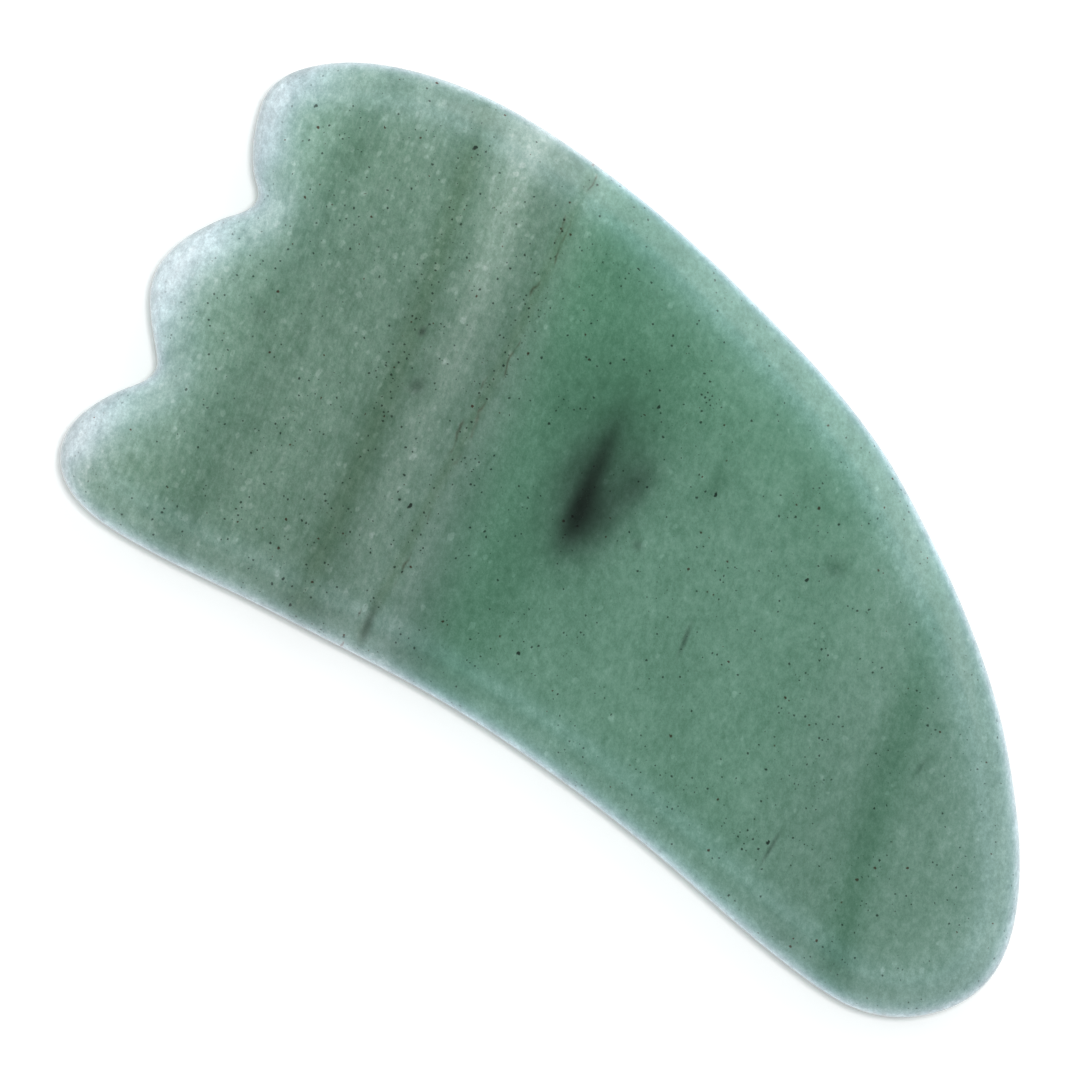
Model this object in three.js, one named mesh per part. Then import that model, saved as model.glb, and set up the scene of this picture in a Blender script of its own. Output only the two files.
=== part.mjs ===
// A gua sha scraper: one piece of polished green stone, ground from a flat slab.
// X runs from the toothed end to the round nose, Y from the hollow belly to the arched back, Z is up.
// The origin is under the middle of the plate, on the surface that it lies on. Lengths are millimetres.

import * as THREE from "three";

// Driving dimensions
const LENGTH = 105;
const WIDTH = 55;
const THICKNESS = 6;
const EDGE_WIDTH = 3.4; // the rounded edge along belly and nose, from the rim in to the flat face
const BACK_EDGE_WIDTH = 6; // the same along the back, which is ground thinner
const TOOTH_EDGE_WIDTH = 4.2; // the same on the teeth
const EDGE_SWEEP = 72; // degrees of arc in the rounded edge, from the rim to its crease with the face

// Fineness of the facets
const EDGE_STEPS = 5; // from the rim to each face
const MAX_TURN = 8; // degrees that the outline turns in one facet
const MAX_FACET = 4; // length of one facet along the outline

const NOSE_X = LENGTH / 2;
const TEETH_X = -LENGTH / 2;
const BACK_Y = WIDTH / 2;
const BELLY_Y = -WIDTH / 2;

// The outline's knots, anticlockwise, with the direction that the edge runs in at each, in degrees.
// Each span between two knots is one smooth curve.
const OUTLINE_KNOTS = [
  { x: 40.3, y: BELLY_Y, heading: 0 }, // the lowest point of the nose
  { x: 48.8, y: -24.4, heading: 42 }, // the nose's lower corner
  { x: NOSE_X, y: -16.9, heading: 90 }, // the nose's tip
  { x: 50.6, y: -10, heading: 116 }, // the back, just past the tip
  { x: 43, y: 0.4, heading: 132 }, // the back, behind the nose
  { x: 20, y: 17.3, heading: 151 }, // the back, halfway
  { x: -5, y: 25.1, heading: 168 }, // the back, nearing its top
  { x: -28, y: BACK_Y, heading: 180 }, // the top of the back
  { x: -44.1, y: 24.5, heading: 203 }, // the shoulder, bending down to the teeth
  { x: -50.4, y: 20.3, heading: 226 }, // first tooth, upper flank
  { x: TEETH_X, y: 15.9, heading: 270 }, // first tooth, crest
  { x: -51.6, y: 12.5, heading: 291 }, // first tooth, below the crest
  { x: -49.4, y: 8.8, heading: 311 }, // first tooth, lower flank
  { x: -47.7, y: 6.5, heading: 270 }, // first notch
  { x: -49.6, y: 3.3, heading: 236 }, // second tooth, upper flank
  { x: -52.2, y: -3.6, heading: 270 }, // second tooth, crest
  { x: -50.7, y: -7.6, heading: 306 }, // second tooth, below the crest
  { x: -48.1, y: -10.6, heading: 311 }, // second tooth, lower flank
  { x: -47, y: -12.5, heading: 270 }, // second notch
  { x: -49, y: -16.2, heading: 240 }, // third tooth, upper flank
  { x: -50.9, y: -21.6, heading: 270 }, // third tooth, crest
  { x: -49.3, y: -25.4, heading: 317 }, // the corner under the third tooth
  { x: -42.5, y: BELLY_Y, heading: 0 }, // the lowest point behind the teeth
  { x: -25, y: -25.8, heading: 5.5 }, // the belly, rising
  { x: -2, y: -24, heading: 0 }, // the top of the hollow belly
  { x: 22, y: -25.6, heading: -8 }, // the belly, falling to the nose
];

function direction(heading) {
  const angle = THREE.MathUtils.degToRad(heading);
  return new THREE.Vector2(Math.cos(angle), Math.sin(angle));
}

// The turn from one heading to the next, between -180 and 180 degrees.
function turnBetween(from, to) {
  return THREE.MathUtils.euclideanModulo(to - from + 180, 360) - 180;
}

// One span of the outline, as the cubic curve nearest to an arc that leaves and arrives at the two headings.
function outlineSpan(start, end) {
  const from = new THREE.Vector2(start.x, start.y);
  const to = new THREE.Vector2(end.x, end.y);
  const chord = from.distanceTo(to);
  const turn = turnBetween(start.heading, end.heading);
  const handle = chord / (3 * Math.cos(THREE.MathUtils.degToRad(turn / 4)) ** 2);
  const curve = new THREE.CubicBezierCurve(
    from,
    from.clone().addScaledVector(direction(start.heading), handle),
    to.clone().addScaledVector(direction(end.heading), -handle),
    to,
  );
  return { curve, facets: Math.ceil(Math.max(Math.abs(turn) / MAX_TURN, chord / MAX_FACET)) };
}

// The width of the rounded edge where the rim faces outward in the given direction.
function edgeWidth(outward) {
  const facesBack = Math.max(0, outward.y) ** 2;
  const facesTeeth = Math.max(0, -outward.x) ** 2;
  const moreAtBack = facesBack * (BACK_EDGE_WIDTH - EDGE_WIDTH);
  const moreAtTeeth = facesTeeth * (TOOTH_EDGE_WIDTH - EDGE_WIDTH);
  return EDGE_WIDTH + moreAtBack + moreAtTeeth;
}

// Points round the rim, each with the vector from there straight in to the flat face.
function rimPoints() {
  const points = [];
  OUTLINE_KNOTS.forEach((knot, i) => {
    const next = OUTLINE_KNOTS[(i + 1) % OUTLINE_KNOTS.length];
    const { curve, facets } = outlineSpan(knot, next);
    for (let step = 0; step < facets; step += 1) {
      const tangent = curve.getTangent(step / facets);
      const outward = new THREE.Vector2(tangent.y, -tangent.x);
      points.push({
        position: curve.getPoint(step / facets),
        inward: outward.clone().multiplyScalar(-edgeWidth(outward)),
      });
    }
  });
  return points;
}

// The section of the edge, from the underside's flat face round the rim to the upper flat face.
// Inset is a share of the edge's width; the arc stops short of the flat, which leaves a fine crease.
function edgeSection() {
  const sweep = THREE.MathUtils.degToRad(EDGE_SWEEP);
  const section = [];
  for (let step = -EDGE_STEPS; step <= EDGE_STEPS; step += 1) {
    const angle = (sweep * step) / EDGE_STEPS;
    section.push({
      inset: (1 - Math.cos(angle)) / (1 - Math.cos(sweep)),
      z: (THICKNESS / 2) * (1 + Math.sin(angle) / Math.sin(sweep)),
    });
  }
  return section;
}

// A closed skin: rings of points stacked up the edge's section, with a flat face inside each end ring.
function plateGeometry() {
  const rim = rimPoints();
  const rings = edgeSection().map(({ inset, z }) =>
    rim.map(({ position, inward }) => {
      const { x, y } = position.clone().addScaledVector(inward, inset);
      return new THREE.Vector3(x, y, z);
    }),
  );
  const count = rim.length;
  const triangles = [];
  for (let ring = 0; ring < rings.length - 1; ring += 1) {
    for (let i = 0; i < count; i += 1) {
      const here = ring * count + i;
      const beside = ring * count + ((i + 1) % count);
      triangles.push(here, beside, beside + count);
      triangles.push(here, beside + count, here + count);
    }
  }
  const top = (rings.length - 1) * count;
  for (const [a, b, c] of THREE.ShapeUtils.triangulateShape(rings[0], [])) {
    triangles.push(c, b, a);
    triangles.push(top + a, top + b, top + c);
  }
  const geometry = new THREE.BufferGeometry().setFromPoints(rings.flat());
  geometry.setIndex(triangles);
  geometry.computeVertexNormals();
  return geometry;
}

function polishedGreenStone() {
  return new THREE.MeshStandardMaterial({ color: 0x6f9182, roughness: 0.14, metalness: 0 });
}

function stonePlate() {
  const mesh = new THREE.Mesh(plateGeometry(), polishedGreenStone());
  mesh.name = "stone_plate";
  return mesh;
}

const guaShaScraper = new THREE.Group();
guaShaScraper.add(stonePlate());

export default guaShaScraper;
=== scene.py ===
"""A gua sha plate of polished green stone lying on a pale studio floor, seen from straight above.

Everything is in metres, in the CAD frame: X from teeth to nose, Y from belly to back, Z up.
"""

import math

import bpy
import numpy as np
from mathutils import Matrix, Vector
from mathutils.geometry import delaunay_2d_cdt


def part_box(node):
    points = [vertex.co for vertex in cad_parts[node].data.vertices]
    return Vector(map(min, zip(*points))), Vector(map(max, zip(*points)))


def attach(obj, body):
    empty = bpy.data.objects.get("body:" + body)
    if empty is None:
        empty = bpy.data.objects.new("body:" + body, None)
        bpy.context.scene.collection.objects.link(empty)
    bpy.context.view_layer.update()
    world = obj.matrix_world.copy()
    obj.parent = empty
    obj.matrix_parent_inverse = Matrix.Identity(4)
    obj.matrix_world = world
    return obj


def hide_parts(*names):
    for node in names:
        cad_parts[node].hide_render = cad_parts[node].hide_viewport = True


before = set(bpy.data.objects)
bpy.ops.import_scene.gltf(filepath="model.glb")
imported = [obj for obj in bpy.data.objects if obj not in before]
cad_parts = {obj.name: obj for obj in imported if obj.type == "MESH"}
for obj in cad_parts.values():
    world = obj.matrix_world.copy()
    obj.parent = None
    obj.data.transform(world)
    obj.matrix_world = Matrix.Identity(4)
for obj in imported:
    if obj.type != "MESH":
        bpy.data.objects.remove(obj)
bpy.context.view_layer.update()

PLATE = "stone_plate"
MM = 0.001

low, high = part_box(PLATE)
MIDDLE = (low + high) / 2
HALF = (high - low) / 2
LENGTH_UNIT = HALF.x / MM  # places in the pattern are shares of these
WIDTH_UNIT = HALF.y / MM

# The plate's section: the same rounded edge as the CAD node, cut finer.
EDGE_WIDTH = 3.4 * MM
BACK_EDGE_WIDTH = 6 * MM
TOOTH_EDGE_WIDTH = 4.2 * MM
EDGE_SWEEP = math.radians(72)
EDGE_STEPS = 16
FACET = 0.2 * MM  # along the rim
FACE_GRID = 1.0 * MM  # over the flat faces
CREASE_LIP = 0.2 * MM  # a narrow ring just inside the crease, so that its shading stays narrow
HALFWAY = 0.01 * MM  # how near the middle height a vertex lies to count as halfway up

# How the plate lies in the view
VIEW_TURN = math.radians(33)
VIEW_DISTANCE = 0.9
VIEW_WIDTH = 0.992  # of the plate's length
AIM = (-0.133, -0.215)  # shares of half the length and half the width
SENSOR = 36  # the camera sensor's width, in its own millimetres

# The studio
FLOOR_REACH = 0.95
FLOOR_GAP = 0.02 * MM  # from the plate down to the floor, so that the two faces don't coincide
FLOOR_GREY = 0.9
FLOOR_GLOW = 0.165
FLOOR_ROUGHNESS = 0.9
FLOOR_SHEEN = 0.1
LIGHT_DISTANCE = 0.9
AIR_COLOUR = (0.95, 0.985, 1.0)
AIR_OVERHEAD = 0.16  # brightness straight overhead
AIR_HORIZON = 0.64  # and at the horizon
AIR_DIM_ABOVE = 0.98  # the sines of the heights between which it changes
AIR_BRIGHT_BELOW = 0.55
NEAREST_SEEN = 0.01
FARTHEST_SEEN = 20


# ---------------------------------------------------------------- geometry


def cad_rim():
    """The CAD node's rim, anticlockwise: its vertices halfway up, which stand out furthest."""
    found = set()
    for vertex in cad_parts[PLATE].data.vertices:
        if abs(vertex.co.z - MIDDLE.z) < HALFWAY:
            found.add((round(vertex.co.x, 7), round(vertex.co.y, 7)))
    return np.array(sorted(found, key=lambda p: math.atan2(p[1] - MIDDLE.y, p[0] - MIDDLE.x)))


def closed_curve(points, spacing):
    """Even samples of the smooth closed curve (a periodic cubic spline) through the points."""
    gaps = np.linalg.norm(np.roll(points, -1, 0) - points, axis=1)
    before = np.roll(gaps, 1)
    slopes = (np.roll(points, -1, 0) - points) / gaps[:, None]
    unit = np.eye(len(points))
    system = (2 * (before + gaps))[:, None] * unit
    system += before[:, None] * np.roll(unit, -1, 1) + gaps[:, None] * np.roll(unit, 1, 1)
    bends = np.linalg.solve(system, 6 * (slopes - np.roll(slopes, 1, 0)))
    samples = []
    for i, gap in enumerate(gaps):
        j = (i + 1) % len(points)
        t = np.linspace(0, 1, max(2, round(gap / spacing)), endpoint=False)[:, None]
        pull = ((1 - t) ** 3 - (1 - t)) * bends[i] + (t**3 - t) * bends[j]
        samples.append((1 - t) * points[i] + t * points[j] + pull * gap**2 / 6)
    return np.clip(np.concatenate(samples), low[:2], high[:2])


def outward_of(curve):
    """The outward normal at each sample of an anticlockwise closed curve."""
    along = np.roll(curve, -1, 0) - np.roll(curve, 1, 0)
    along /= np.linalg.norm(along, axis=1)[:, None]
    return np.stack([along[:, 1], -along[:, 0]], 1)


def edge_widths(outward):
    """The width of the rounded edge at each point of the rim, from the way the rim faces there."""
    faces_back = np.maximum(0, outward[:, 1]) ** 2
    faces_teeth = np.maximum(0, -outward[:, 0]) ** 2
    at_back = faces_back * (BACK_EDGE_WIDTH - EDGE_WIDTH)
    at_teeth = faces_teeth * (TOOTH_EDGE_WIDTH - EDGE_WIDTH)
    return EDGE_WIDTH + at_back + at_teeth


def edge_rings(rim, outward):
    """Rings of points from the lower face's crease, out round the rim, to the upper face's crease."""
    inward = -outward * edge_widths(outward)[:, None]
    rings = []
    for step in range(-EDGE_STEPS, EDGE_STEPS + 1):
        angle = EDGE_SWEEP * step / EDGE_STEPS
        inset = (1 - math.cos(angle)) / (1 - math.cos(EDGE_SWEEP))
        z = MIDDLE.z + HALF.z * math.sin(angle) / math.sin(EDGE_SWEEP)
        rings.append(np.column_stack([rim + inward * inset, np.full(len(rim), z)]))
    lip = rim + inward - outward * CREASE_LIP
    lower = np.column_stack([lip, np.full(len(rim), low.z)])
    upper = np.column_stack([lip, np.full(len(rim), high.z)])
    return [lower, *rings, upper]


def face_mesh(border):
    """Points and triangles that fill a closed border: an even grid inside it, joined up to it."""
    count = len(border)
    xs = np.arange(border[:, 0].min(), border[:, 0].max(), FACE_GRID)
    ys = np.arange(border[:, 1].min(), border[:, 1].max(), FACE_GRID)
    grid = [(x, y) for x in xs for y in ys]
    edges = [(i, (i + 1) % count) for i in range(count)]
    points = [Vector(p) for p in [*border.tolist(), *grid]]
    loop = [list(range(count))]
    inside_only = 1
    closest = 1e-8  # in metres; points nearer to each other than this are one
    vertices, _, faces, origins, _, _ = delaunay_2d_cdt(points, edges, loop, inside_only, closest)
    return vertices, faces, origins


def distance_to_rim(points, rim):
    """For each point, the distance to the nearest sample of the rim and that sample's number."""
    distances = np.empty(len(points))
    nearest = np.empty(len(points), int)
    chunk = 1000
    for start in range(0, len(points), chunk):
        apart = np.linalg.norm(points[start:start + chunk, None] - rim[None], axis=2)
        nearest[start:start + chunk] = apart.argmin(1)
        distances[start:start + chunk] = apart.min(1)
    return distances, nearest


def plate_piece():
    """The whole stone as one closed mesh."""
    rim = closed_curve(cad_rim(), FACET)
    outward = outward_of(rim)
    rings = edge_rings(rim, outward)
    count = len(rim)
    points = np.concatenate(rings).tolist()
    faces = []
    for ring in range(len(rings) - 1):
        for i in range(count):
            here = ring * count + i
            beside = ring * count + (i + 1) % count
            faces.append((here, beside, beside + count, here + count))
    filling, triangles, origins = face_mesh(rings[-1][:, :2])
    for first, z, upward in ((0, low.z, False), ((len(rings) - 1) * count, high.z, True)):
        numbers = []
        for vertex, origin in zip(filling, origins):
            border = [o for o in origin if o < count]
            if border:
                numbers.append(first + border[0])
            else:
                numbers.append(len(points))
                points.append((vertex.x, vertex.y, z))
        for triangle in triangles:
            corners = [numbers[i] for i in triangle]
            faces.append(corners if upward else corners[::-1])
    mesh = bpy.data.meshes.new("polished_stone_plate")
    mesh.from_pydata(points, [], faces)
    mesh.polygons.foreach_set("use_smooth", [True] * len(mesh.polygons))
    mesh.validate()
    piece = bpy.data.objects.new("polished_stone_plate", mesh)
    bpy.context.scene.collection.objects.link(piece)
    store_painted_edge_glow(mesh, np.array(points), rim, outward)
    return piece


def ramp(value, start, end):
    """0 before start, 1 after end, and straight between them."""
    return np.clip((value - start) / (end - start), 0, 1)


def fade(d, reach, steepness=1):
    """1 at the rim, falling away further in."""
    return np.exp(-((d / reach) ** steepness))


def line_at(d, place, breadth):
    """1 on a line that runs round the plate at one distance from the rim, fading out to both sides."""
    return np.exp(-(((d - place) / breadth) ** 2))


def painted_edge_light(d, rim, deep, crease):
    """The painted light in an edge: a painted glow at its rim and deep inside, and a painted highlight
    along the crease.

    Rim is a strength and a reach, deep a strength, a reach and a steepness, crease a strength, a place
    and a breadth.
    """
    inside = rim[0] * fade(d, *rim[1:]) + deep[0] * fade(d, *deep[1:])
    return inside + crease[0] * line_at(d, *crease[1:])


def painted_edge_glow(d, outward, spot, level):
    """Painted edge glow: how pale the stone is painted, d millimetres in from a rim that faces outward,
    where light shines through the thin edge, with a painted highlight along the crease.

    Spot is where that stretch of rim lies, in shares of half the plate's length and width. Level is 0 on
    the underside, which lies in its own shade, so that its glow is painted weaker there as painted shade,
    and 1 from the middle of the edge up. Returns the share of the stone's own colour that is left under
    the painted glow, and a painted trim of that glow, lighter in places and darker at the very rim.
    """
    back = np.maximum(0, outward[:, 1]) ** 2
    belly = np.maximum(0, -outward[:, 1]) ** 2
    teeth = np.maximum(0, -outward[:, 0]) ** 1.4 * ramp(-spot[:, 0], 0.88, 0.96)
    plain = np.maximum(0, 1 - back - belly - teeth)
    shoulder = back * ramp(-spot[:, 0], 0.72, 0.82)
    second_tooth = line_at(spot[:, 1], -0.13, 0.25)

    # painted glow at the rim and deep in, and a painted highlight along the crease, for each way the rim
    # faces
    light = plain * painted_edge_light(d, rim=(0.88, 0.7), deep=(0.15, 5.5, 2), crease=(0.09, 3.2, 0.9))
    light = light + belly * painted_edge_light(d, rim=(0.90, 0.8), deep=(0.04, 5.5, 2), crease=(0.12, 4.0, 1.1))
    light = light + back * painted_edge_light(d, rim=(0.90, 0.35), deep=(0.19, 5.3, 3), crease=(0.08, 3.5, 1.0))
    # the thin teeth take a broad painted glow, strongest at the second tooth
    light = light + teeth * (0.66 * fade(d, 3.3 + second_tooth * 0.5, 3))
    light = light + teeth * ((0.24 + second_tooth * 0.06) * fade(d, 7, 2))
    # the painted glow is capped, and painted weaker on the underside as painted shade
    most_light = 0.76 + teeth * 0.1
    in_shade = 0.4 + 0.6 * level**2
    light = np.minimum(light, most_light) * in_shade

    # the painted trim: a lighter line in the belly's edge, darker at the very rim, lighter or darker at
    # the teeth
    painted_glow_trim = belly * 0.08 * line_at(d, 1.2, 1.2)
    painted_glow_trim = painted_glow_trim - (0.16 * plain + 0.26 * teeth + 0.22 * shoulder) * fade(d, 0.6, 2)
    painted_glow_trim = painted_glow_trim + teeth * (second_tooth * 0.2 - 0.12) * fade(d, 3, 2)
    return 1 - light, painted_glow_trim * level


def store_painted_edge_glow(mesh, points, rim, outward):
    """Keeps the painted edge glow (light through the thin edge, painted into the colour) on the mesh, one
    value to a vertex, for the material to read.
    """
    distances, nearest = distance_to_rim(points[:, :2], rim)
    spot = (rim[nearest] - np.array(MIDDLE.xy)) / np.array(HALF.xy)
    level = np.clip((points[:, 2] - low.z) / HALF.z, 0, 1)
    # the painted edge glow and its painted trim, which lightens or darkens it
    colour, painted_glow_trim = painted_edge_glow(distances / MM, outward[nearest], spot, level)
    for name, values in (("colour_left_under_painted_glow", colour), ("painted_glow_trim", painted_glow_trim)):
        attribute = mesh.attributes.new(name, "FLOAT", "POINT")
        attribute.data.foreach_set("value", values.astype(np.float32))


# ---------------------------------------------------------------- node maths


class Field:
    """A number that varies over the stone, so that nodes can be written as ordinary sums."""

    def __init__(self, socket):
        self.socket = socket

    def math(self, operation, *values):
        node = self.socket.id_data.nodes.new("ShaderNodeMath")
        node.operation = operation
        for slot, value in zip(node.inputs, values):
            feed(slot, value)
        return Field(node.outputs[0])

    def __add__(self, other):
        return self.math("ADD", self, other)

    def __radd__(self, other):
        return self.math("ADD", other, self)

    def __sub__(self, other):
        return self.math("SUBTRACT", self, other)

    def __rsub__(self, other):
        return self.math("SUBTRACT", other, self)

    def __mul__(self, other):
        return self.math("MULTIPLY", self, other)

    def __rmul__(self, other):
        return self.math("MULTIPLY", other, self)

    def __truediv__(self, other):
        return self.math("DIVIDE", self, other)

    def __neg__(self):
        return self.math("MULTIPLY", self, -1.0)

    def squared(self):
        return self.math("MULTIPLY", self, self)

    def exp(self):
        return self.math("EXPONENT", self)

    def rise(self, start, end):
        """0 before start, 1 after end, and smooth between them. An end below the start makes it fall."""
        node = self.socket.id_data.nodes.new("ShaderNodeMapRange")
        node.interpolation_type = "SMOOTHSTEP"
        feed(node.inputs["Value"], self)
        feed(node.inputs["From Min"], start)
        feed(node.inputs["From Max"], end)
        return Field(node.outputs[0])


def feed(slot, value):
    """Links a field or a socket to an input, or sets a plain value on it."""
    if isinstance(value, Field):
        value = value.socket
    if isinstance(value, bpy.types.NodeSocket):
        slot.id_data.links.new(value, slot)
    else:
        slot.default_value = value


LEAN = 0.22  # how far the fibres lean towards the nose on their way to the belly
DIP = 0.12  # how far the bands lean on their way down through the plate
WANDER = 0.8  # how strongly the bands stray from their course, in mm


class Stone:
    """The coordinates and building blocks of the stone's pattern. Lengths in it are millimetres."""

    def __init__(self, tree):
        self.tree = tree
        place = tree.nodes.new("ShaderNodeTexCoord").outputs["Object"]
        self.place = self.vector("SCALE", place, scale=1 / MM)
        split = tree.nodes.new("ShaderNodeSeparateXYZ")
        feed(split.inputs[0], self.place)
        self.x, self.y, self.z = (Field(output) for output in split.outputs)
        self.share_up = (self.y + WIDTH_UNIT) / (2 * WIDTH_UNIT)
        leaning = tree.nodes.new("ShaderNodeCombineXYZ")
        for slot, value in zip(leaning.inputs, (self.x + self.y * LEAN, self.y, self.z)):
            feed(slot, value)
        self.leaning_place = leaning.outputs[0]
        below_top = self.z - 2 * HALF.z / MM
        self.across = self.x + below_top * DIP + self.noise(14, 2, seed=3.1) * WANDER

    def vector(self, operation, *values, scale=None):
        node = self.tree.nodes.new("ShaderNodeVectorMath")
        node.operation = operation
        for slot, value in zip(node.inputs, values):
            feed(slot, value)
        if scale is not None:
            feed(node.inputs["Scale"], scale)
        return node.outputs[0]

    def noise(self, size, detail=0.0, roughness=0.5, stretch=(1, 1, 1), seed=0.0):
        """Smooth noise round 0, with grains of a size; stretch lengthens them along the axes."""
        shrunk = self.vector("MULTIPLY", self.leaning_place, [1 / (size * s) for s in stretch])
        node = self.tree.nodes.new("ShaderNodeTexNoise")
        feed(node.inputs["Vector"], self.vector("ADD", shrunk, (seed, seed, seed)))
        node.inputs["Scale"].default_value = 1.0
        node.inputs["Detail"].default_value = detail
        node.inputs["Roughness"].default_value = roughness
        return Field(node.outputs[0]) - 0.5

    def cells(self, size, stretch=(1, 1, 1), seed=0.0):
        """Scattered points: the distance to the nearest, and two random numbers that belong to it."""
        shrunk = self.vector("MULTIPLY", self.place, [1 / (size * s) for s in stretch])
        node = self.tree.nodes.new("ShaderNodeTexVoronoi")
        feed(node.inputs["Vector"], self.vector("ADD", shrunk, (seed, seed, seed)))
        node.inputs["Scale"].default_value = 1.0
        split = self.tree.nodes.new("ShaderNodeSeparateColor")
        feed(split.inputs[0], node.outputs["Color"])
        return Field(node.outputs["Distance"]) * size, Field(split.outputs[0]), Field(split.outputs[1])

    def specks(self, size, smallest, largest, share, stretch=(1, 1, 1), seed=0.0):
        """Small uneven grains: 0 outside them and about 1 inside. Share is how many cells hold one."""
        distance, first, second = self.cells(size, stretch, seed)
        radius = smallest + first.squared() * (largest - smallest)
        uneven = self.noise(largest * 1.5, 1, seed=seed) * 1.6
        grain = (distance / radius + uneven).rise(1.15, 0.55)
        strength = first * 0.8 + 0.45  # the larger, the stronger
        return grain * strength * second.math("LESS_THAN", second, share)

    def band(self, foot, head, width, bow=0.0, wobble=0.0):
        """1 on a line from foot at the belly to head at the back, fading out over a width in mm.

        Foot and head are shares of half the plate's length; bow pushes the line's middle over, in mm,
        and wobble is a field that shakes it.
        """
        line = LENGTH_UNIT * foot + self.share_up * (LENGTH_UNIT * (head - foot))
        line = line + self.share_up * (1 - self.share_up) * (4 * bow) + wobble
        return (-((self.across - line) / width).squared()).exp()

    def blob(self, x, y, length, breadth, lean=0.0):
        """1 at a point, fading out over a length and a breadth in mm.

        The point is in shares of half the plate's length and width; lean turns the length away from Y,
        in degrees.
        """
        dx = self.across - x * LENGTH_UNIT
        dy = self.y - y * WIDTH_UNIT
        cos, sin = math.cos(math.radians(lean)), math.sin(math.radians(lean))
        along = (dy * cos - dx * sin) / length
        beside = (dx * cos + dy * sin) / breadth
        return (-(along.squared() + beside.squared())).exp()


# ---------------------------------------------------------------- the stone


PALE = (0.80, 0.88, 0.90)  # what shows where no colour is in the way; also the colour of the painted edge glow
GREEN_DEPTH = (1.966, 1.365, 1.705)  # how fast green grains darken red, green and blue
RUST_DEPTH = (0.9, 1.4, 1.5)  # the same for rusty specks; smoke darkens all three alike
OCHRE_DEPTH = (0.0, 0.03, 0.14)  # and for the ochre tinge of the banded zone
PAINTED_GLOW_TINT = (1.0, 1.06, 1.32)  # in the painted edge glow, green and blue go pale sooner than red does towards the rim
REFRACTION = 1.54  # of quartz
POLISH = 0.13  # roughness
POLISH_CHANGE = 0.08  # and how much it varies

BANDS = (
    # foot, head, width, bow, green at the foot and the head, smoke at the foot and the head
    (-0.72, -0.83, 1.8, 0.0, 0.06, 0.15, 0.00, 0.07),  # olive, behind the teeth
    (-0.69, -0.73, 1.4, 0.0, 0.10, 0.00, 0.05, 0.00),  # its faint second line
    (-0.43, -0.655, 1.7, 1.2, 0.10, 0.16, 0.05, 0.04),  # olive, dotted with specks
    (-0.35, -0.55, 2.2, 0.8, -0.14, -0.30, 0.02, -0.06),  # the pale quartz band
    (-0.40, -0.48, 2.6, -1.0, 0.04, 0.06, 0.10, 0.00),  # grey beside it
    (-0.31, -0.425, 0.6, 0.7, 0.03, 0.08, 0.02, 0.02),  # a fine olive line
    (-0.36, -0.42, 0.8, -0.3, 0.08, 0.00, 0.00, 0.00),  # a fainter one before it
    (-0.25, -0.38, 1.2, -0.8, -0.16, -0.03, 0.05, 0.00),  # pale, along the green zone's border
    (-0.13, -0.29, 4.5, -1.0, 0.20, 0.16, -0.08, -0.08),  # deep green, just past that border
    (0.75, 0.42, 2.0, 0.9, 0.32, 0.16, -0.14, -0.14),  # deep green, across the nose
)

BLOTCHES = (
    # x, y, length, breadth, lean, green, smoke
    (-0.13, 0.34, 7.5, 6.5, 10, 0.34, -0.06),  # the deep green round the inclusion
    (-0.12, -0.30, 7.0, 4.5, 0, 0.16, -0.05),  # and below it
    (-0.116, 0.085, 4.7, 0.95, 8, 0.0, 1.12),  # the inclusion's hard streak
    (-0.103, -0.073, 3.0, 1.1, 11, 0.0, 0.95),  # its foot
    (-0.080, -0.058, 3.2, 2.1, 0, 0.0, 0.90),  # the mass beside the foot
    (-0.038, 0.130, 2.3, 1.3, 0, 0.0, 0.50),  # a lobe that stands apart
    (-0.150, 0.080, 3.4, 1.3, 0, 0.0, 0.34),  # a shelf on its other side
    (-0.092, 0.040, 6.4, 4.0, 0, 0.0, 0.66),  # the smoke round them all
    (0.348, 0.265, 1.1, 1.1, 0, 0.12, 0.22),  # a round soft spot
    (0.083, 0.285, 1.9, 0.9, 0, 0.16, 0.05),  # an upright one
    (0.225, 0.435, 1.4, 1.4, 0, 0.05, 0.06),  # a faint one
    (0.022, -0.045, 0.5, 0.5, 0, 0.0, 0.40),  # a small dark one by the inclusion
    (0.187, -0.229, 1.3, 0.22, 12, 0.0, 0.75),  # a short hairline
    (0.528, -0.676, 1.5, 0.18, 3, 0.0, 0.60),  # another, before the nose
    (0.678, -0.156, 0.9, 0.25, 0, 0.15, 0.25),  # and a third, faint
    (-0.315, -0.785, 1.9, 0.45, 10, 0.0, 0.75),  # a dark vein that ends at the belly
    (-0.522, 0.172, 0.45, 0.3, 0, 0.0, 0.90),  # a hard knot in the speckled band
    (-0.475, 0.0, 0.8, 0.7, 0, 0.0, 0.42),  # a dark knot in the speckled band
    (-0.79, -0.085, 0.8, 0.8, 0, 0.0, 0.20),  # a grey one behind the teeth
    (-0.95, -0.11, 4.5, 3.2, 0, -0.20, 0.14),  # the palest tooth
    (-0.91, 0.53, 4.5, 4.0, 0, 0.0, -0.16),  # the greenest tooth
    (-0.93, -0.86, 4.8, 4.0, 0, -0.28, 0.26),  # the pale corner
    (0.46, 0.15, 7.0, 4.5, 12, -0.04, -0.06),  # pale, before the nose's band
    (0.50, -0.66, 4.5, 5.0, -30, -0.06, 0.06),  # and between it and the belly
)


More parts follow.
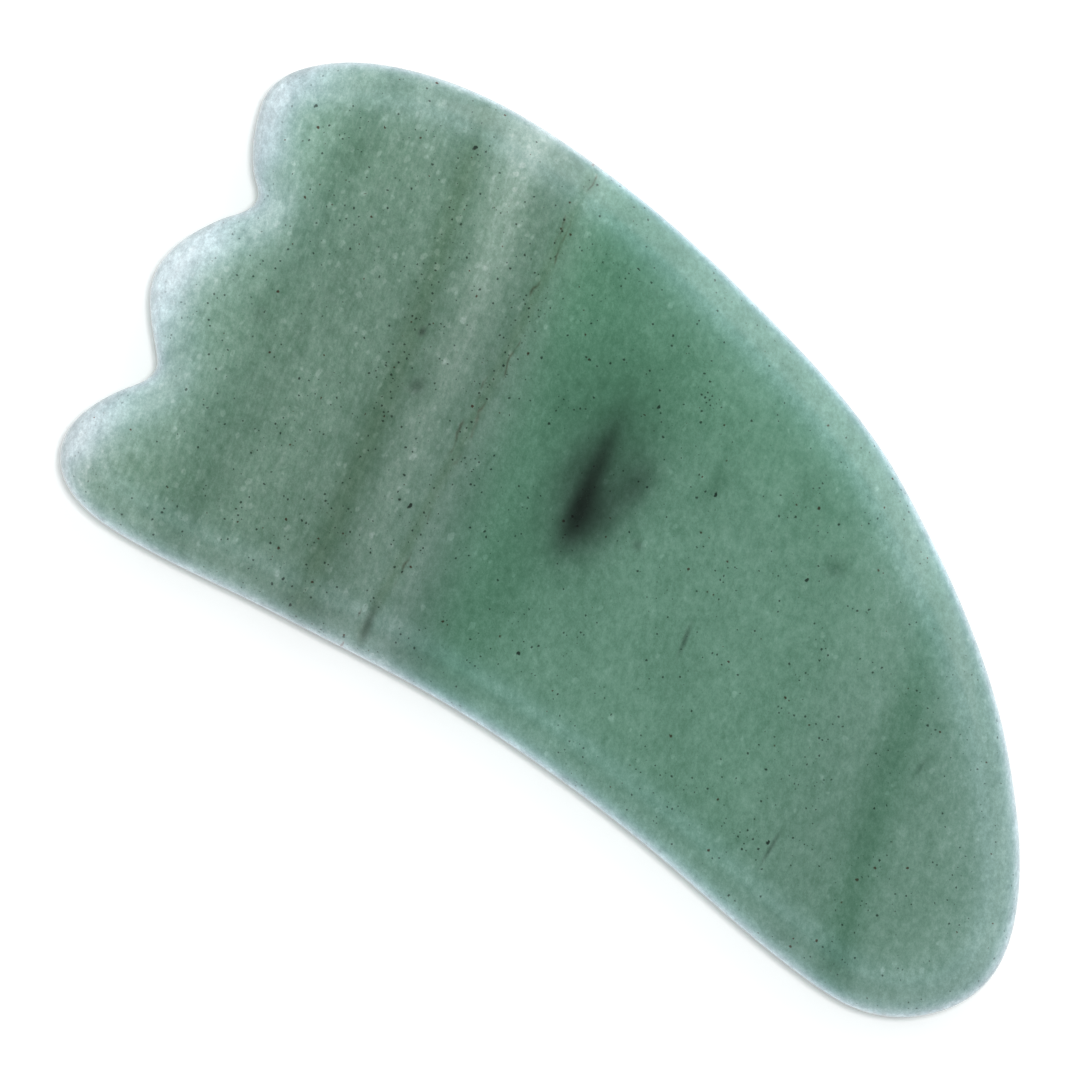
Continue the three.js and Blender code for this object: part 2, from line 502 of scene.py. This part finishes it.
def zones(stone):
    """The broad zones: grey-green by the teeth, deep green in the middle, paler at the nose.

    Each zone comes in between two places along the plate, or across it, in mm from the plate's middle.
    """
    border = stone.across + stone.y * 0.25
    greener = border.rise(-20.5, -10.5)
    clearer = border.rise(-19.0, -11.8)
    banded = stone.across.rise(-48.5, -34.0) * 0.32 + stone.across.rise(-34.0, -24.0) * 0.14
    nose = border.rise(17.0, 28.0)
    tip = stone.across.rise(35.0, 46.0)
    high = stone.y.rise(4.0, 18.0)
    green = 0.74 + greener * (high * 0.12 + 0.31) - nose * 0.15 - tip * 0.12
    grey_nose = nose * (0.27 - stone.y.rise(-6.0, 8.0) * 0.12)
    smoke = banded * (1 - clearer) * (1 - high * 0.4) - clearer * (high * 0.24 + 0.12) + grey_nose
    return green, smoke


def pattern(stone):
    """The stone's bands, blotches and smoky inclusion on top of its zones."""
    green, smoke = zones(stone)
    for foot, head, width, bow, green_foot, green_head, smoke_foot, smoke_head in BANDS:
        band = stone.band(foot, head, width, bow)
        green = green + band * (stone.share_up * (green_head - green_foot) + green_foot)
        smoke = smoke + band * (stone.share_up * (smoke_head - smoke_foot) + smoke_foot)
    for x, y, length, breadth, lean, more_green, more_smoke in BLOTCHES:
        blotch = stone.blob(x, y, length, breadth, lean)
        green = green + blotch * more_green
        smoke = smoke + blotch * more_smoke
    return green, smoke


def grained(stone, green, smoke, banded, grain, cloud):
    """The crystal grain, the fibres and the pale quartz grains, on top of the pattern."""
    fibres = stone.noise(0.7, 2, 0.7, stretch=(0.7, 4.0, 1), seed=1.3)
    haze = stone.noise(1.3, 3, 0.9, seed=9.4)
    quartz = stone.specks(0.8, 0.15, 0.35, banded * 0.45 + 0.1, stretch=(1, 1.3, 1), seed=3.9)
    green = green + grain * 0.85 + cloud * 0.25 + fibres * (banded * 0.22 + 0.1) - quartz * 0.14
    return green, smoke + haze * (banded * 0.3 + 0.15)


def specks_and_hairs(stone, banded, olive):
    """How dark and how rusty the stone is at its specks and along its two fine broken hairs."""
    crowding = stone.noise(3.5, 2, seed=2.6) * 2.2 + olive * 0.8 + banded * 0.08 + 0.24
    fine = stone.specks(0.45, 0.04, 0.14, crowding, seed=4.4)
    coarse = stone.specks(1.5, 0.08, 0.20, crowding * 0.45, stretch=(1, 1.4, 1), seed=8.8)
    rusty = stone.specks(0.9, 0.06, 0.17, crowding * 0.4, seed=6.6)
    wobble = stone.noise(2.4, 2, seed=14.2) * 1.6
    hairs = stone.band(-0.300, -0.420, 0.13, 0.8, wobble) + stone.band(-0.340, -0.430, 0.11, 1.0, wobble)
    broken = stone.noise(1.4, 2, stretch=(1, 2.5, 1), seed=15.5).rise(0.0, 0.14)
    return fine * 1.1 + coarse * 1.6, rusty + hairs * broken * 0.45


def stone_colour(stone):
    """The colour that is left once the pigments have absorbed their share of the light, with the painted
    edge glow and its painted trim on top.
    """
    banded = stone.across.rise(-10.0, -26.0)
    olive = stone.band(-0.43, -0.655, 1.2, bow=1.2) + stone.band(-0.31, -0.425, 0.6, bow=0.7)
    grain = stone.noise(1.1, 4, 0.95, stretch=(0.9, 1.2, 1), seed=7.7)
    cloud = stone.noise(5, 2, 0.5, stretch=(0.8, 1.3, 1), seed=5.2)
    green, smoke = pattern(stone)
    green, smoke = grained(stone, green, smoke, banded, grain, cloud)
    dark, rusty = specks_and_hairs(stone, banded, olive)
    ochre = (banded + olive) * 0.5

    # the painted edge glow: where it is strong, less of the stone's colour is left and it goes pale; its
    # painted trim lightens or darkens it
    share = Field(attribute(stone.tree, "colour_left_under_painted_glow"))
    smoke = (smoke + dark) * share - Field(attribute(stone.tree, "painted_glow_trim"))
    # the grain and clouds show more through the painted glow
    smoke = smoke + (grain * 1.7 + cloud * 0.6) * (1 - share)
    colour = stone.tree.nodes.new("ShaderNodeCombineColor")
    pigments = zip(PALE, GREEN_DEPTH, RUST_DEPTH, OCHRE_DEPTH, PAINTED_GLOW_TINT)
    for slot, (pale, green_depth, rust_depth, ochre_depth, glow_tint_power) in zip(colour.inputs, pigments):
        stained = green * green_depth + ochre * ochre_depth
        absorbed = stained * share.math("POWER", share, glow_tint_power) + smoke + rusty * rust_depth
        feed(slot, (-absorbed).exp() * pale)
    return colour.outputs[0]


def stone_material():
    material = bpy.data.materials.new("polished_green_stone")
    material.use_nodes = True
    tree = material.node_tree
    tree.nodes.clear()
    stone = Stone(tree)
    shader = tree.nodes.new("ShaderNodeBsdfPrincipled")
    feed(shader.inputs["Base Color"], stone_colour(stone))
    feed(shader.inputs["Roughness"], stone.noise(2.2, 3, 0.6, seed=6.1) * POLISH_CHANGE + POLISH)
    shader.inputs["IOR"].default_value = REFRACTION
    shader.inputs["Subsurface Weight"].default_value = 0.1
    shader.inputs["Subsurface Radius"].default_value = (1.0, 1.3, 1.2)
    shader.inputs["Subsurface Scale"].default_value = 0.6 * MM
    feed(shader.inputs["Normal"], polish(stone))
    output = tree.nodes.new("ShaderNodeOutputMaterial")
    feed(output.inputs["Surface"], shader.outputs[0])
    return material


def attribute(tree, name):
    """The socket that reads one of the values kept on the mesh."""
    node = tree.nodes.new("ShaderNodeAttribute")
    node.attribute_name = name
    return node.outputs["Fac"]


def polish(stone):
    """The slight unevenness of a hand-polished face: broad waves and fine grain, with heights in mm."""
    waves = stone.noise(7, 1, seed=11.0) * 0.012
    fine = stone.noise(0.7, 2, 0.7, seed=12.0) * 0.0012
    bump = stone.tree.nodes.new("ShaderNodeBump")
    bump.inputs["Distance"].default_value = MM
    feed(bump.inputs["Height"], waves + fine)
    return bump.outputs[0]


# ---------------------------------------------------------------- the studio


def floor():
    """A wide pale floor, slightly lit from behind as a light table is."""
    z = low.z - FLOOR_GAP
    mesh = bpy.data.meshes.new("floor")
    corners = [(x * FLOOR_REACH, y * FLOOR_REACH, z) for x, y in ((-1, -1), (1, -1), (1, 1), (-1, 1))]
    mesh.from_pydata(corners, [], [(0, 1, 2, 3)])
    piece = bpy.data.objects.new("floor", mesh)
    bpy.context.scene.collection.objects.link(piece)
    material = bpy.data.materials.new("pale_floor")
    material.use_nodes = True
    shader = material.node_tree.nodes["Principled BSDF"]
    shader.inputs["Base Color"].default_value = (FLOOR_GREY, FLOOR_GREY, FLOOR_GREY, 1)
    shader.inputs["Roughness"].default_value = FLOOR_ROUGHNESS
    shader.inputs["Specular IOR Level"].default_value = FLOOR_SHEEN
    shader.inputs["Emission Color"].default_value = (1, 1, 1, 1)
    shader.inputs["Emission Strength"].default_value = FLOOR_GLOW
    mesh.materials.append(material)
    return piece


def softbox(name, turn, elevation, size, power):
    """A square soft light aimed at the plate. Turn is measured from +X, anticlockwise, in degrees."""
    light = bpy.data.lights.new(name, "AREA")
    light.size = size
    light.energy = power
    lamp = bpy.data.objects.new(name, light)
    bpy.context.scene.collection.objects.link(lamp)
    turn, elevation = math.radians(turn), math.radians(elevation)
    flat = math.cos(elevation)
    away = Vector((math.cos(turn) * flat, math.sin(turn) * flat, math.sin(elevation)))
    lamp.location = MIDDLE + away * LIGHT_DISTANCE
    lamp.rotation_euler = away.to_track_quat("Z", "Y").to_euler()
    lamp.visible_camera = False
    return lamp


def studio_air():
    """Even light from all round, dim straight overhead and bright towards the horizon."""
    world = bpy.data.worlds.new("studio")
    bpy.context.scene.world = world
    world.use_nodes = True
    tree = world.node_tree
    background = tree.nodes["Background"]
    split = tree.nodes.new("ShaderNodeSeparateXYZ")
    feed(split.inputs[0], tree.nodes.new("ShaderNodeTexCoord").outputs["Generated"])
    towards_horizon = Field(split.outputs[2]).rise(AIR_DIM_ABOVE, AIR_BRIGHT_BELOW)
    brightness = towards_horizon * (AIR_HORIZON - AIR_OVERHEAD) + AIR_OVERHEAD
    feed(background.inputs["Strength"], brightness)
    background.inputs["Color"].default_value = (*AIR_COLOUR, 1)


def camera():
    """Looks straight down on the plate, turned so that the plate lies slantwise in the picture."""
    data = bpy.data.cameras.new("camera")
    data.sensor_width = SENSOR
    data.lens = SENSOR * VIEW_DISTANCE / (VIEW_WIDTH * 2 * HALF.x)
    data.clip_start = NEAREST_SEEN
    data.clip_end = FARTHEST_SEEN
    viewer = bpy.data.objects.new("camera", data)
    bpy.context.scene.collection.objects.link(viewer)
    aim = MIDDLE + Vector((AIM[0] * HALF.x, AIM[1] * HALF.y, 0))
    viewer.location = aim + Vector((0, 0, VIEW_DISTANCE))
    viewer.rotation_euler = (0, 0, VIEW_TURN)
    bpy.context.scene.camera = viewer


def studio():
    camera()
    studio_air()
    floor()
    overhead = softbox("high_softbox", turn=66, elevation=82, size=0.16, power=4.1)
    overhead.visible_glossy = False  # so that the plate's face doesn't mirror it
    softbox("back_softbox", turn=76, elevation=28, size=0.8, power=2.4)
    softbox("teeth_softbox", turn=176, elevation=32, size=0.6, power=1.0)
    bpy.context.scene.view_settings.view_transform = "Standard"


studio()
plate = plate_piece()
plate.data.materials.append(stone_material())
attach(plate, "root")
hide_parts(PLATE)
